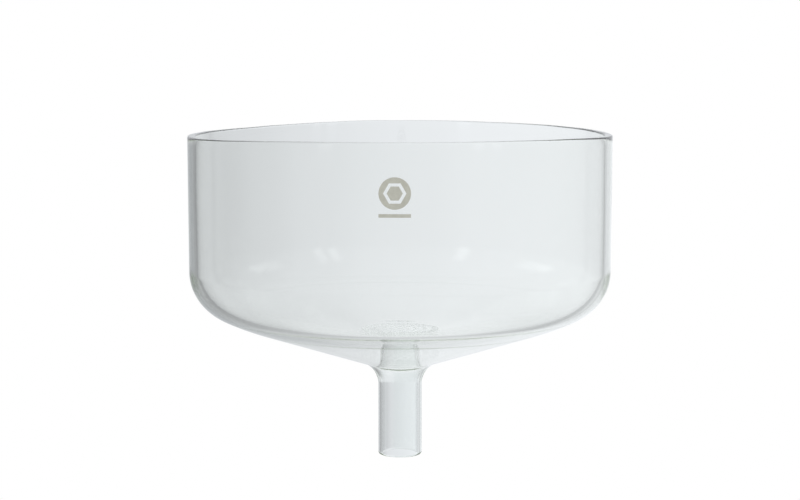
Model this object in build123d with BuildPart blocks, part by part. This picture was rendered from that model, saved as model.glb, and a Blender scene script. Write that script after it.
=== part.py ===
from build123d import *
import os
from math import cos, radians, sin, tan

# A wide clear-glass Buchner funnel: a blown bowl with a shallow conical floor, a short stem sealed
# on under it, a small loose perforated plate that lies on the floor over the outlet, and a fired
# enamel mark on the wall.
# Millimetres, +Z up, with Z as the funnel's own axis. z = 0 is half way up the straight length of
# the stem, where a stopper grips it.

# Bowl, measured on its outer face
bowl_radius = 100.0
bowl_wall = 3.8
bowl_side = 66.2            # straight side, from the shoulder up to the top of the rim
shoulder_turn = 64.0        # degrees turned by the shoulder's tighter curve
shoulder_radius = 22.8      # that curve, outside
inner_shoulder_radius = 20.4    # and inside, slower than a parallel one: the corner is thicker
easing_radius = 118.0       # the slow curve that runs on into the conical floor, outside
cone_slope = 18.8           # degrees, floor to horizontal
rim_round = 1.0             # both edges of the rim, fire-polished

# Stem, measured on its outer face
stem_radius = 10.45
stem_wall = 1.9
stem_straight = 33.2
stem_round = 0.9            # fire-polished outlet
neck_radius = 11.6          # hollow curve between the stem and the conical floor

# Perforated plate
plate_radius = 19.0
plate_thickness = 3.0
plate_edge_round = 0.8
plate_clearance = 0.3       # between its rounded lower edge and the floor
hole_radius = 1.0
hole_pitch = 4.2            # from one ring of holes to the next
hole_rings = 4
holes_per_ring_step = 6

# Enamel mark: a plain roundel with a hexagon ring left clear in it, over a plain bar
mark_centre_x = -2.2
mark_below_rim = 21.3
mark_radius = 6.8
hexagon_outer = 4.9
hexagon_inner = 3.4
bar_width = 13.6
bar_height = 1.5
bar_below_centre = 9.4
enamel_thickness = 0.12

# Where the pieces meet, worked out from the sizes above
slope = radians(cone_slope)
turn = radians(shoulder_turn)
stem_top = stem_straight / 2
stem_bore = stem_radius - stem_wall
seal_radius = stem_radius + neck_radius * (1 - sin(slope))
seal_height = stem_top + neck_radius * cos(slope)
inner_seal_radius = seal_radius - bowl_wall * sin(slope)
inner_seal_height = seal_height + bowl_wall * cos(slope)
inner_neck_radius = (inner_seal_radius - stem_bore) / (1 - sin(slope))
inner_easing_radius = easing_radius - bowl_wall


def cone_run(start_radius, side_radius, shoulder, easing):
    """Return how far the floor runs straight, between the seal and the easing curve."""
    curved = shoulder * (1 - cos(turn)) + easing * (cos(turn) - sin(slope))
    return (side_radius - curved - start_radius) / cos(slope)


outer_run = cone_run(seal_radius, bowl_radius, shoulder_radius, easing_radius)
shoulder_top = (
    seal_height
    + outer_run * sin(slope)
    + easing_radius * (cos(slope) - sin(turn))
    + shoulder_radius * sin(turn)
)
rim_height = shoulder_top + bowl_side


def bowl_line(start, side_radius, shoulder, easing):
    """Draw one face of the bowl, from its seal with the stem up to the rim. Return its ends."""
    run = cone_run(start[0], side_radius, shoulder, easing)
    cone = PolarLine(start, length=run, angle=cone_slope)
    curve = JernArc(cone @ 1, cone % 1, easing, 90 - cone_slope - shoulder_turn)
    corner = JernArc(curve @ 1, curve % 1, shoulder, shoulder_turn)
    side = Line(corner @ 1, (side_radius, rim_height))
    return cone @ 0, side @ 1


def stem_line(start, bend):
    """Draw one face of the stem, from its seal with the bowl down to the outlet. Return its ends."""
    neck = JernArc(start, (-cos(slope), -sin(slope)), bend, 90 - cone_slope)
    side = Line(neck @ 1, ((neck @ 1).X, -stem_top - stem_round))
    return neck @ 0, side @ 1


outer_seal = (seal_radius, seal_height)
inner_seal = (inner_seal_radius, inner_seal_height)

with BuildPart() as bowl:
    with BuildSketch(Plane.XZ) as bowl_section:
        with BuildLine():
            outer_foot, outer_rim = bowl_line(outer_seal, bowl_radius, shoulder_radius, easing_radius)
            inner_foot, inner_rim = bowl_line(
                inner_seal, bowl_radius - bowl_wall, inner_shoulder_radius, inner_easing_radius
            )
            Line(outer_foot, inner_foot)
            Line(outer_rim, inner_rim)
        make_face()
        fillet(bowl_section.vertices().group_by(Axis.Y)[-1], radius=rim_round)
    revolve(axis=Axis.Z)

with BuildPart() as stem:
    with BuildSketch(Plane.XZ) as stem_section:
        with BuildLine():
            outer_head, outer_outlet = stem_line(outer_seal, neck_radius)
            inner_head, inner_outlet = stem_line(inner_seal, inner_neck_radius)
            Line(outer_head, inner_head)
            Line(outer_outlet, inner_outlet)
        make_face()
        fillet(stem_section.vertices().group_by(Axis.Y)[0], radius=stem_round)
    revolve(axis=Axis.Z)

# The plate's rounded lower edge stops just clear of the floor, all the way round.
edge_radius = plate_radius - plate_edge_round
floor_under_edge = inner_seal_height + (edge_radius - inner_seal_radius) * tan(slope)
edge_height = floor_under_edge + (plate_edge_round + plate_clearance) / cos(slope)
plate_bottom = edge_height - plate_edge_round

with BuildPart() as perforated_plate:
    with BuildSketch(Plane.XY.offset(plate_bottom)):
        Circle(plate_radius)
    extrude(amount=plate_thickness)
    fillet(perforated_plate.edges(), radius=plate_edge_round)
    with BuildSketch(Plane.XY.offset(plate_bottom)):
        Circle(hole_radius)
        for ring in range(1, hole_rings + 1):
            with PolarLocations(ring * hole_pitch, ring * holes_per_ring_step):
                Circle(hole_radius)
    extrude(amount=plate_thickness, mode=Mode.SUBTRACT)

mark_height = rim_height - mark_below_rim
enamel_skin = bowl_radius + enamel_thickness

with BuildPart() as enamel_mark:
    with BuildSketch(Plane.XZ):
        with Locations((mark_centre_x, mark_height)):
            Circle(mark_radius)
            RegularPolygon(hexagon_outer, 6, mode=Mode.SUBTRACT)
            RegularPolygon(hexagon_inner, 6)
        with Locations((mark_centre_x, mark_height - bar_below_centre)):
            Rectangle(bar_width, bar_height)
    extrude(amount=enamel_skin)
    with BuildSketch(Plane.XY.offset(shoulder_top)):
        Circle(enamel_skin)
        Circle(bowl_radius, mode=Mode.SUBTRACT)
    extrude(amount=bowl_side, mode=Mode.INTERSECT)

bowl.part.label = "bowl"
stem.part.label = "stem"
perforated_plate.part.label = "perforated_plate"
enamel_mark.part.label = "enamel_mark"

os.makedirs("parts", exist_ok=True)
export_step(bowl.part, "parts/bowl.step")
export_step(stem.part, "parts/stem.step")
export_step(perforated_plate.part, "parts/perforated_plate.step")
export_step(enamel_mark.part, "parts/enamel_mark.step")

bore_top = inner_seal_height - inner_neck_radius * cos(slope)
print("rim", round(rim_height, 2), "shoulder top", round(shoulder_top, 2))
print("seal", round(seal_radius, 2), round(seal_height, 2), "bore length", round(bore_top + stem_top, 2))
print("plate", round(plate_bottom, 2), "to", round(plate_bottom + plate_thickness, 2))
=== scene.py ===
from math import cos, hypot, pi, radians, sin, tan

import bmesh
import bpy
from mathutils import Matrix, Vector


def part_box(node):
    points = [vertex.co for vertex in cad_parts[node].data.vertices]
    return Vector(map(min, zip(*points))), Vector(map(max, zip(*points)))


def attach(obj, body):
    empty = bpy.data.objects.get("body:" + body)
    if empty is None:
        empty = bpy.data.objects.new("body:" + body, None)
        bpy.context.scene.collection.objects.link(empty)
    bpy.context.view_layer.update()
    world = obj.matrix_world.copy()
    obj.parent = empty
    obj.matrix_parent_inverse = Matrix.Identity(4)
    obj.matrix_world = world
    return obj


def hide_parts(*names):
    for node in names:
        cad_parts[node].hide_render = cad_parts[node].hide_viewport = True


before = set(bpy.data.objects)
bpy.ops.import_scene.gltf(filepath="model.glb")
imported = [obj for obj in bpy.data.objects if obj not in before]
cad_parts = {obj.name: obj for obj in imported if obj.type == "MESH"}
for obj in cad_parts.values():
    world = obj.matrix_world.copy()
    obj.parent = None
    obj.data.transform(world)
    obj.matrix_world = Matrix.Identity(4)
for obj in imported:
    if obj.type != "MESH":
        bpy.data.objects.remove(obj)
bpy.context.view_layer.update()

MM = 0.001

# ---------------------------------------------------------------- places, from the frame
bowl_low, bowl_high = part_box("bowl")
stem_low, stem_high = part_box("stem")

BOWL_RADIUS = bowl_high.x
RIM_HEIGHT = bowl_high.z
OUTLET_HEIGHT = stem_low.z
SEAL_HEIGHT = bowl_low.z
SEAL_RADIUS = stem_high.x

# The outline of the glass, as the CAD pieces have it
BOWL_WALL = 3.8 * MM
SHOULDER_TURN = radians(64)
SHOULDER_RADIUS = 22.8 * MM
INNER_SHOULDER_RADIUS = 20.4 * MM
EASING_RADIUS = 118 * MM
CONE_SLOPE = radians(18.8)
RIM_ROUND = 1.0 * MM
STEM_RADIUS = 10.45 * MM
STEM_WALL = 1.9 * MM

# Steps between the points of the outline, and points round the axis
CURVE_STEP = 0.5 * MM
FINE_STEP = 0.15 * MM
LINE_STEP = 4 * MM
GLASS_TURNS = 480

# How far hand work strays from that outline. A wave is (times round, share, phase in radians).
# The waves of the sag are a rounded least-squares fit to the rim of the reference funnel.
RIM_REACH = 14 * MM
RIM_SAG = 0.95 * MM
SAG_WAVES = ((2, 1.0, 0.1), (1, 0.4, -2.8), (3, 0.15, -1.0), (5, 0.15, 0.6))
RIM_RIPPLE = 0.03 * MM
RIPPLE_WAVES = ((13, 1.0, 0.4), (23, 0.7, 1.9), (37, 0.3, 0.0))
RIPPLE_MEAN = 2
WALL_WAVE = 0.03 * MM
WALL_TWIST = 90

# Where the painted shade along the outer edge starts and how fast it grows, in shares of the bowl's
# radius,
# and its strength: the mean, and how far above it the left is. The left is darker only to match
# how the reference was lit: painted shade, since real glass is the same all round.
EDGE_START = 0.6
EDGE_GROWTH = 0.3
EDGE_STRENGTH = 0.62
EDGE_LEFT = 0.38


# ---------------------------------------------------------------- small helpers
def arc(centre, radius, start, end, step=CURVE_STEP):
    """Points on an arc in the (radius, height) plane, from one angle to another."""
    count = max(4, int(abs(end - start) * abs(radius) / step))
    angles = [start + (end - start) * i / count for i in range(count + 1)]
    return [(centre[0] + radius * cos(a), centre[1] + radius * sin(a)) for a in angles]


def line(start, end):
    """Points on a straight line in the (radius, height) plane, without its two ends."""
    run, rise = end[0] - start[0], end[1] - start[1]
    count = max(2, int(hypot(run, rise) / LINE_STEP))
    return [(start[0] + run * i / count, start[1] + rise * i / count) for i in range(1, count)]


def waves(shape, table, angle):
    """The sum of a table's waves at an angle, with shape as sin or cos."""
    return sum(share * shape(count * angle + phase) for count, share, phase in table)


def clamp(value):
    return min(1.0, max(0.0, value))


def mesh_object(name, bm):
    """A smooth object in the scene, from a bmesh that is used up."""
    bmesh.ops.recalc_face_normals(bm, faces=bm.faces)
    mesh = bpy.data.meshes.new(name)
    bm.to_mesh(mesh)
    bm.free()
    for polygon in mesh.polygons:
        polygon.use_smooth = True
    piece = bpy.data.objects.new(name, mesh)
    bpy.context.scene.collection.objects.link(piece)
    return piece


# ---------------------------------------------------------------- glass body
def side_outline(seal, side_radius, shoulder, easing, stem_radius):
    """One face of the glass, from the top of the stem's straight length up to the straight side."""
    neck_radius = (seal[0] - stem_radius) / (1 - sin(CONE_SLOPE))
    neck_centre = (stem_radius + neck_radius, seal[1] - neck_radius * cos(CONE_SLOPE))
    neck = arc(neck_centre, neck_radius, pi, pi / 2 + CONE_SLOPE)
    shoulder_x = side_radius - shoulder
    easing_x = shoulder_x - (easing - shoulder) * cos(SHOULDER_TURN)
    floor_end_x = easing_x + easing * sin(CONE_SLOPE)
    floor_end_z = seal[1] + (floor_end_x - seal[0]) * tan(CONE_SLOPE)
    easing_z = floor_end_z + easing * cos(CONE_SLOPE)
    shoulder_z = easing_z - (easing - shoulder) * sin(SHOULDER_TURN)
    curve = arc((easing_x, easing_z), easing, -pi / 2 + CONE_SLOPE, -SHOULDER_TURN)
    curve += arc((shoulder_x, shoulder_z), shoulder, -SHOULDER_TURN, 0)[1:]
    return neck + line(neck[-1], curve[0]) + curve


def glass_outline():
    """The whole closed outline of the glass: up the outside, over the rim, down the inside."""
    bore = STEM_RADIUS - STEM_WALL
    inside_radius = BOWL_RADIUS - BOWL_WALL
    seal = (SEAL_RADIUS, SEAL_HEIGHT)
    inner_seal = (seal[0] - BOWL_WALL * sin(CONE_SLOPE), seal[1] + BOWL_WALL * cos(CONE_SLOPE))
    inner_easing = EASING_RADIUS - BOWL_WALL
    outside = side_outline(seal, BOWL_RADIUS, SHOULDER_RADIUS, EASING_RADIUS, STEM_RADIUS)
    inside = side_outline(inner_seal, inside_radius, INNER_SHOULDER_RADIUS, inner_easing, bore)
    outer_rim = (BOWL_RADIUS - RIM_ROUND, RIM_HEIGHT - RIM_ROUND)
    inner_rim = (inside_radius + RIM_ROUND, RIM_HEIGHT - RIM_ROUND)
    outlet_centre = (STEM_RADIUS - STEM_WALL / 2, OUTLET_HEIGHT + STEM_WALL / 2)
    rim = arc(outer_rim, RIM_ROUND, 0, pi / 2, step=FINE_STEP)
    rim += arc(inner_rim, RIM_ROUND, pi / 2, pi, step=FINE_STEP)
    outlet = arc(outlet_centre, STEM_WALL / 2, pi, 2 * pi, step=FINE_STEP)
    points = outlet + line(outlet[-1], outside[0]) + outside
    points += line(outside[-1], rim[0]) + rim
    inside.reverse()
    points += line(rim[-1], inside[0]) + inside + line(inside[-1], outlet[0])
    return points


def hand_worked(radius, height, angle):
    """Move a point of the bowl as hand work would: an uneven rim, and a wall that varies a little."""
    near_rim = max(0.0, 1 - (RIM_HEIGHT - height) / RIM_REACH) ** 2
    sag = max(0.0, 1 + waves(cos, SAG_WAVES, angle))
    ripple = RIPPLE_MEAN + waves(sin, RIPPLE_WAVES, angle)
    height -= near_rim * (RIM_SAG * sag + RIM_RIPPLE * ripple)
    on_inside = BOWL_RADIUS - BOWL_WALL / 2 > radius > BOWL_RADIUS / 2 and height > SEAL_HEIGHT
    if on_inside:
        radius += WALL_WAVE * (sin(3 * angle + 1.0) + 0.5 * sin(7 * angle + WALL_TWIST * height))
    return radius * cos(angle), radius * sin(angle), height


def edge_shade_weight(radius, height, angle):
    """How much of the painted edge shade a point of the outside takes: none near the stem or over the
    rim.
    """
    share = clamp((radius / BOWL_RADIUS - EDGE_START) / EDGE_GROWTH)
    share *= clamp((RIM_HEIGHT - height - RIM_ROUND) / RIM_ROUND)
    return share * (EDGE_STRENGTH - EDGE_LEFT * cos(angle))


def make_glass_body():
    """The bowl and the stem as one skin, turned round the axis."""
    bm = bmesh.new()
    outside = bm.verts.layers.float.new("outside")
    outline = glass_outline()
    angles = [2 * pi * i / GLASS_TURNS for i in range(GLASS_TURNS)]
    rings = [[bm.verts.new(hand_worked(*point, angle)) for angle in angles] for point in outline]
    top = max(range(len(outline)), key=lambda k: outline[k][1])
    for ring, point in zip(rings[:top], outline):
        for vertex, angle in zip(ring, angles):
            vertex[outside] = edge_shade_weight(*point, angle)
    for k, ring in enumerate(rings):
        above = rings[(k + 1) % len(rings)]
        for i in range(GLASS_TURNS):
            j = (i + 1) % GLASS_TURNS
            bm.faces.new((ring[i], ring[j], above[j], above[i]))
    return mesh_object("glass_body", bm)


# ---------------------------------------------------------------- materials
GLASS_INDEX = 1.474
STREAK_COLOUR = (0.985, 0.992, 0.99, 1)
CLEAR_COLOUR = (1, 1, 1, 1)
EDGE_SHADE_COLOUR = (0.40, 0.43, 0.45, 1)
STEM_COLOUR = (0.945, 0.96, 0.955, 1)
DEPTH_COLOUR = (0.835, 0.86, 0.80, 1)
BODY_DEPTH = 42.0
PLATE_DEPTH = 12.0
ENAMEL_DARK = (0.40, 0.39, 0.325, 1)
ENAMEL_PALE = (0.50, 0.49, 0.42, 1)

# Stops of the curves in the materials
EDGE_FACING = ((0.70, 0), (0.86, 1))
STEM_HEIGHTS = ((0.0, 1), (SEAL_HEIGHT - 4 * MM, 1), (SEAL_HEIGHT, 0))
# Painted light: the stem's colour fades out on its left, a lighter left side only to match how the
# reference was lit
STEM_SIDES = ((-8 * MM, 0.4), (-6 * MM, 0), (-1 * MM, 1))
ENAMEL_GRAIN = ((0.3, 0), (0.7, 1))
ENAMEL_ROUGHNESS = ((0.3, 0.45), (0.7, 0.62))


class Nodes:
    """Short names for building a shader graph."""

    def __init__(self, tree):
        self.tree = tree

    def add(self, kind, **inputs):
        node = self.tree.nodes.new("ShaderNode" + kind)
        for key, value in inputs.items():
            self.put(node.inputs[key.replace("_", " ")], value)
        return node

    def put(self, socket, value):
        if isinstance(value, bpy.types.NodeSocket):
            self.tree.links.new(value, socket)
        else:
            socket.default_value = value

    def math(self, operation, a, b=0.0):
        node = self.tree.nodes.new("ShaderNodeMath")
        node.operation = operation
        self.put(node.inputs[0], a)
        self.put(node.inputs[1], b)
        return node.outputs[0]

    def mix(self, share, a, b):
        node = self.add("MixRGB", Fac=share)
        self.put(node.inputs["Color1"], a)
        self.put(node.inputs["Color2"], b)
        return node.outputs[0]

    def curve(self, value, low, high, stops):
        """A smooth curve through (position, level) stops, with positions between low and high."""
        ramp = self.add("ValToRGB")
        ramp.color_ramp.interpolation = "EASE"
        scaled = self.tree.nodes.new("ShaderNodeMapRange")
        self.put(scaled.inputs["Value"], value)
        scaled.inputs["From Min"].default_value = low
        scaled.inputs["From Max"].default_value = high
        self.put(ramp.inputs[0], scaled.outputs[0])
        elements = ramp.color_ramp.elements
        elements.remove(elements[1])
        for k, (position, level) in enumerate(stops):
            place = (position - low) / (high - low)
            element = elements[0] if k == 0 else elements.new(place)
            element.position = place
            element.color = (level, level, level, 1)
        return ramp.outputs[0]


def new_material(name):
    material = bpy.data.materials.new(name)
    material.use_nodes = True
    return material, Nodes(material.node_tree), material.node_tree.nodes["Principled BSDF"]


def streaks(n, scale, stretch, detail=3.0):
    """Noise drawn out along the height of the object, by stretch, with scale features to a metre."""
    place = n.add("Mapping", Vector=n.add("TexCoord").outputs["Object"])
    place.inputs["Scale"].default_value = (scale, scale, scale / stretch)
    return n.add("TexNoise", Vector=place.outputs[0], Scale=1.0, Detail=detail).outputs["Fac"]


def bump(n, shader, height, strength, distance):
    node = n.add("Bump", Strength=strength, Distance=distance, Height=height)
    n.put(shader.inputs["Normal"], node.outputs[0])


def glass_material(name, depth):
    """Clear borosilicate: faint drawn streaks, a slow unevenness, and a colour that comes with depth."""
    material, n, shader = new_material(name)
    shader.inputs["Transmission Weight"].default_value = 1.0
    shader.inputs["Roughness"].default_value = 0.0
    shader.inputs["IOR"].default_value = GLASS_INDEX
    drawn = streaks(n, 260, 14)
    slow = streaks(n, 22, 1.6, detail=1.0)
    colour = n.mix(drawn, STREAK_COLOUR, CLEAR_COLOUR)
    across, _, height_up = n.add("SeparateXYZ", Vector=n.add("TexCoord").outputs["Object"]).outputs
    in_stem = n.curve(height_up, 0.0, SEAL_HEIGHT, STEM_HEIGHTS)
    # Painted light on the stem's left side: its colour is faded out there.
    stem_left_light_fade = n.curve(across, -STEM_RADIUS, STEM_RADIUS, STEM_SIDES)
    colour = n.mix(n.math("MULTIPLY", in_stem, stem_left_light_fade), colour, STEM_COLOUR)
    # Painted shade: the outer faces darken where they are seen at a glancing angle, and more on the
    # left.
    grazing = n.curve(n.add("LayerWeight", Blend=0.5).outputs["Facing"], 0, 1, EDGE_FACING)
    outer_face = n.add("Attribute")
    outer_face.attribute_name = "outside"
    edge_shade = n.math("MULTIPLY", grazing, outer_face.outputs["Fac"])
    n.put(shader.inputs["Base Color"], n.mix(edge_shade, colour, EDGE_SHADE_COLOUR))
    relief = n.math("ADD", n.math("MULTIPLY", drawn, 0.03), slow)
    bump(n, shader, relief, 0.02, 0.4 * MM)
    absorption = n.add("VolumeAbsorption")
    absorption.inputs["Color"].default_value = DEPTH_COLOUR
    absorption.inputs["Density"].default_value = depth
    output = material.node_tree.nodes["Material Output"]
    n.put(output.inputs["Volume"], absorption.outputs["Volume"])
    return material


def enamel_material():
    """Fired print: a warm grey with fine speckle, dry to the touch, a little uneven in thickness."""
    material, n, shader = new_material("fired_enamel")
    speckle = streaks(n, 5200, 1.0, detail=5.0)
    cloud = streaks(n, 420, 1.0, detail=2.0)
    grain = n.math("ADD", n.math("MULTIPLY", speckle, 0.6), n.math("MULTIPLY", cloud, 0.4))
    pale = n.curve(grain, 0.3, 0.7, ENAMEL_GRAIN)
    n.put(shader.inputs["Base Color"], n.mix(pale, ENAMEL_DARK, ENAMEL_PALE))
    n.put(shader.inputs["Roughness"], n.curve(cloud, 0.3, 0.7, ENAMEL_ROUGHNESS))
    bump(n, shader, speckle, 0.25, 0.04 * MM)
    return material


# ---------------------------------------------------------------- studio
# The studio is a surround that only depends on direction. Each curve is a list of (degrees, level)
# stops. Azimuth 0 is straight behind the funnel and a negative one is to the left of it.
# The levels are fitted and not chosen freely: the glass was compared with the reference, band by
# band, and the differences were rounded into them.
ROUND_ABOUT = (
    (-110, 0.72), (-60, 0.62), (-45, 0.54), (-35, 0.40), (-30, 0.48), (-23, 0.52), (-17.5, 0.595),
    (-13, 0.665), (-9.5, 0.64), (-6.5, 0.71), (-4, 0.785), (0, 0.87), (4, 0.925), (8, 0.955),
    (13, 0.99), (17.5, 0.97), (23, 0.835), (30, 0.80), (35, 0.76), (44, 0.81), (60, 0.78), (110, 0.72),
)
OVERHEAD = (
    (-90, 1.0), (-65, 0.9), (-48, 0.56), (-33, 0.50), (-15, 0.80), (0, 0.90), (25, 0.95), (50, 1.0),
)
# How much of the overhead curve, and how little of the one round the horizon, an elevation has
AWAY = ((-60, 1.0), (-42, 0.45), (-33, 0.13), (-27, 0.0), (-4, 0.0), (1, 0.8), (8, 1.0))
STUDIO_TINT = (0.965, 0.99, 1.025)

# A darker border round the backdrop, which is an ellipse about a point below the horizon
BACKDROP_HALF_WIDTH = 32.3
BACKDROP_HALF_HEIGHT = 41.0
BACKDROP_BELOW = 7
BORDER = ((0.98, 0), (1.03, 1), (1.12, 1), (1.3, 0))
BORDER_DEPTH = ((-45, 0.3), (-14, 0.1), (10, 0.08), (32, 0.35), (60, 0.3))

# Bright panes at both sides and behind the camera
SIDE_PANES = ((69, 0), (71, 1), (92, 0.7), (102, 0))
SIDE_HEIGHT = ((15, 0), (20, 1), (28, 1), (40, 0))
BACK_PANES = (
    (-145.5, 0), (-144, 1), (-138, 1), (-136.5, 0), (125.5, 0), (127, 1), (131, 1), (132.5, 0),
    (135, 0), (136.5, 1), (141, 1), (142.5, 0),
)
BACK_HEIGHT = ((-5, 0), (2, 1), (30, 0.8), (40, 0))

CAMERA_PITCH = radians(7.007)
CAMERA_DISTANCE = 0.8199
AIM_BELOW_RIM = 57.3 * MM
LENS = 77.3
SENSOR_WIDTH = 36
FLOOR_RADIUS = 4.0
FLOOR_DROP = 60 * MM
LIGHT_WIDTH = 1.6
LIGHT_HEIGHT = 1.0
LIGHT_ENERGY = 9.0
LIGHT_PLACE = (-0.5, -1.6, 1.3)
# Light crosses many faces of clear glass, and fewer bounces than this lose some of it
BOUNCES = 64


def studio_level(n, azimuth, elevation):
    """The brightness of the studio in a direction."""
    round_about = n.curve(azimuth, -180, 180, ROUND_ABOUT)
    overhead = n.curve(elevation, -90, 90, OVERHEAD)
    level = n.mix(n.curve(elevation, -90, 90, AWAY), round_about, overhead)
    east_share = n.math("DIVIDE", azimuth, BACKDROP_HALF_WIDTH)
    up_share = n.math("DIVIDE", n.math("ADD", elevation, BACKDROP_BELOW), BACKDROP_HALF_HEIGHT)
    squares = n.math("ADD", n.math("POWER", east_share, 2), n.math("POWER", up_share, 2))
    border = n.curve(n.math("SQRT", squares), 0, 3, BORDER)
    depth = n.math("MULTIPLY", border, n.curve(azimuth, -180, 180, BORDER_DEPTH))
    level = n.math("SUBTRACT", level, n.math("MULTIPLY", level, depth))
    side_panes = n.curve(n.math("ABSOLUTE", azimuth), 0, 180, SIDE_PANES)
    side_height = n.curve(elevation, -90, 90, SIDE_HEIGHT)
    back_panes = n.curve(azimuth, -180, 180, BACK_PANES)
    back_height = n.curve(elevation, -90, 90, BACK_HEIGHT)
    sides = n.math("MULTIPLY", side_panes, side_height)
    back = n.math("MULTIPLY", back_panes, back_height)
    return n.math("ADD", level, n.math("ADD", sides, back))


def make_world():
    """The studio as the glass shows it. The camera itself sees plain white."""
    world = bpy.data.worlds.new("studio")
    bpy.context.scene.world = world
    world.use_nodes = True
    n = Nodes(world.node_tree)
    east, north, up = n.add("SeparateXYZ", Vector=n.add("TexCoord").outputs["Generated"]).outputs
    azimuth = n.math("MULTIPLY", n.math("ARCTAN2", east, north), 180 / pi)
    elevation = n.math("MULTIPLY", n.math("ARCSINE", up), 180 / pi)
    level = studio_level(n, azimuth, elevation)
    tint = n.add("CombineXYZ")
    for axis, share in zip("XYZ", STUDIO_TINT):
        n.put(tint.inputs[axis], n.math("MULTIPLY", level, share))
    seen = n.add("LightPath").outputs["Is Camera Ray"]
    background = world.node_tree.nodes["Background"]
    n.put(background.inputs["Color"], n.mix(seen, tint.outputs[0], (1, 1, 1, 1)))
    background.inputs["Strength"].default_value = 1.0


def make_camera():
    camera = bpy.data.objects.new("camera", bpy.data.cameras.new("camera"))
    bpy.context.scene.collection.objects.link(camera)
    target = Vector((0, 0, RIM_HEIGHT - AIM_BELOW_RIM))
    towards = Vector((0, -cos(CAMERA_PITCH), sin(CAMERA_PITCH)))
    camera.location = target + CAMERA_DISTANCE * towards
    camera.rotation_euler = (pi / 2 - CAMERA_PITCH, 0, 0)
    camera.data.lens = LENS
    camera.data.sensor_width = SENSOR_WIDTH
    camera.data.clip_start = 0.01
    bpy.context.scene.camera = camera


def make_floor():
    """A plain white floor that gives its own light, well below the stem. Only the camera sees it."""
    bm = bmesh.new()
    bmesh.ops.create_circle(bm, cap_ends=True, segments=96, radius=FLOOR_RADIUS)
    floor = mesh_object("floor", bm)
    floor.location.z = OUTLET_HEIGHT - FLOOR_DROP
    material = bpy.data.materials.new("lit_floor")
    material.use_nodes = True
    tree = material.node_tree
    glow = tree.nodes.new("ShaderNodeEmission")
    tree.links.new(glow.outputs[0], tree.nodes["Material Output"].inputs["Surface"])
    floor.data.materials.append(material)
    floor.visible_diffuse = False
    floor.visible_glossy = False
    floor.visible_transmission = False
    floor.visible_shadow = False


def make_light():
    """A wide soft light over the camera, for the print. The glass shows the studio instead."""
    light = bpy.data.objects.new("soft_front", bpy.data.lights.new("soft_front", "AREA"))
    bpy.context.scene.collection.objects.link(light)
    light.data.shape = "RECTANGLE"
    light.data.size = LIGHT_WIDTH
    light.data.size_y = LIGHT_HEIGHT
    light.data.energy = LIGHT_ENERGY
    light.location = LIGHT_PLACE
    aim = Vector((0, 0, RIM_HEIGHT)) - light.location
    light.rotation_euler = aim.to_track_quat("-Z", "Y").to_euler()
    light.visible_glossy = False
    light.visible_transmission = False


# ---------------------------------------------------------------- the scene
glass_body = make_glass_body()
glass_body.data.materials.append(glass_material("clear_glass", BODY_DEPTH))
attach(glass_body, "funnel")
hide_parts("bowl", "stem")
carried_over = {
    "perforated_plate": glass_material("plate_glass", PLATE_DEPTH),
    "enamel_mark": enamel_material(),
}
for node, material in carried_over.items():
    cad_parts[node].data.materials.clear()
    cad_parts[node].data.materials.append(material)
make_world()
make_floor()
make_light()
make_camera()
bpy.context.scene.view_settings.view_transform = "Standard"
bpy.context.scene.cycles.max_bounces = BOUNCES
bpy.context.scene.cycles.transmission_bounces = BOUNCES
bpy.context.scene.cycles.glossy_bounces = BOUNCES
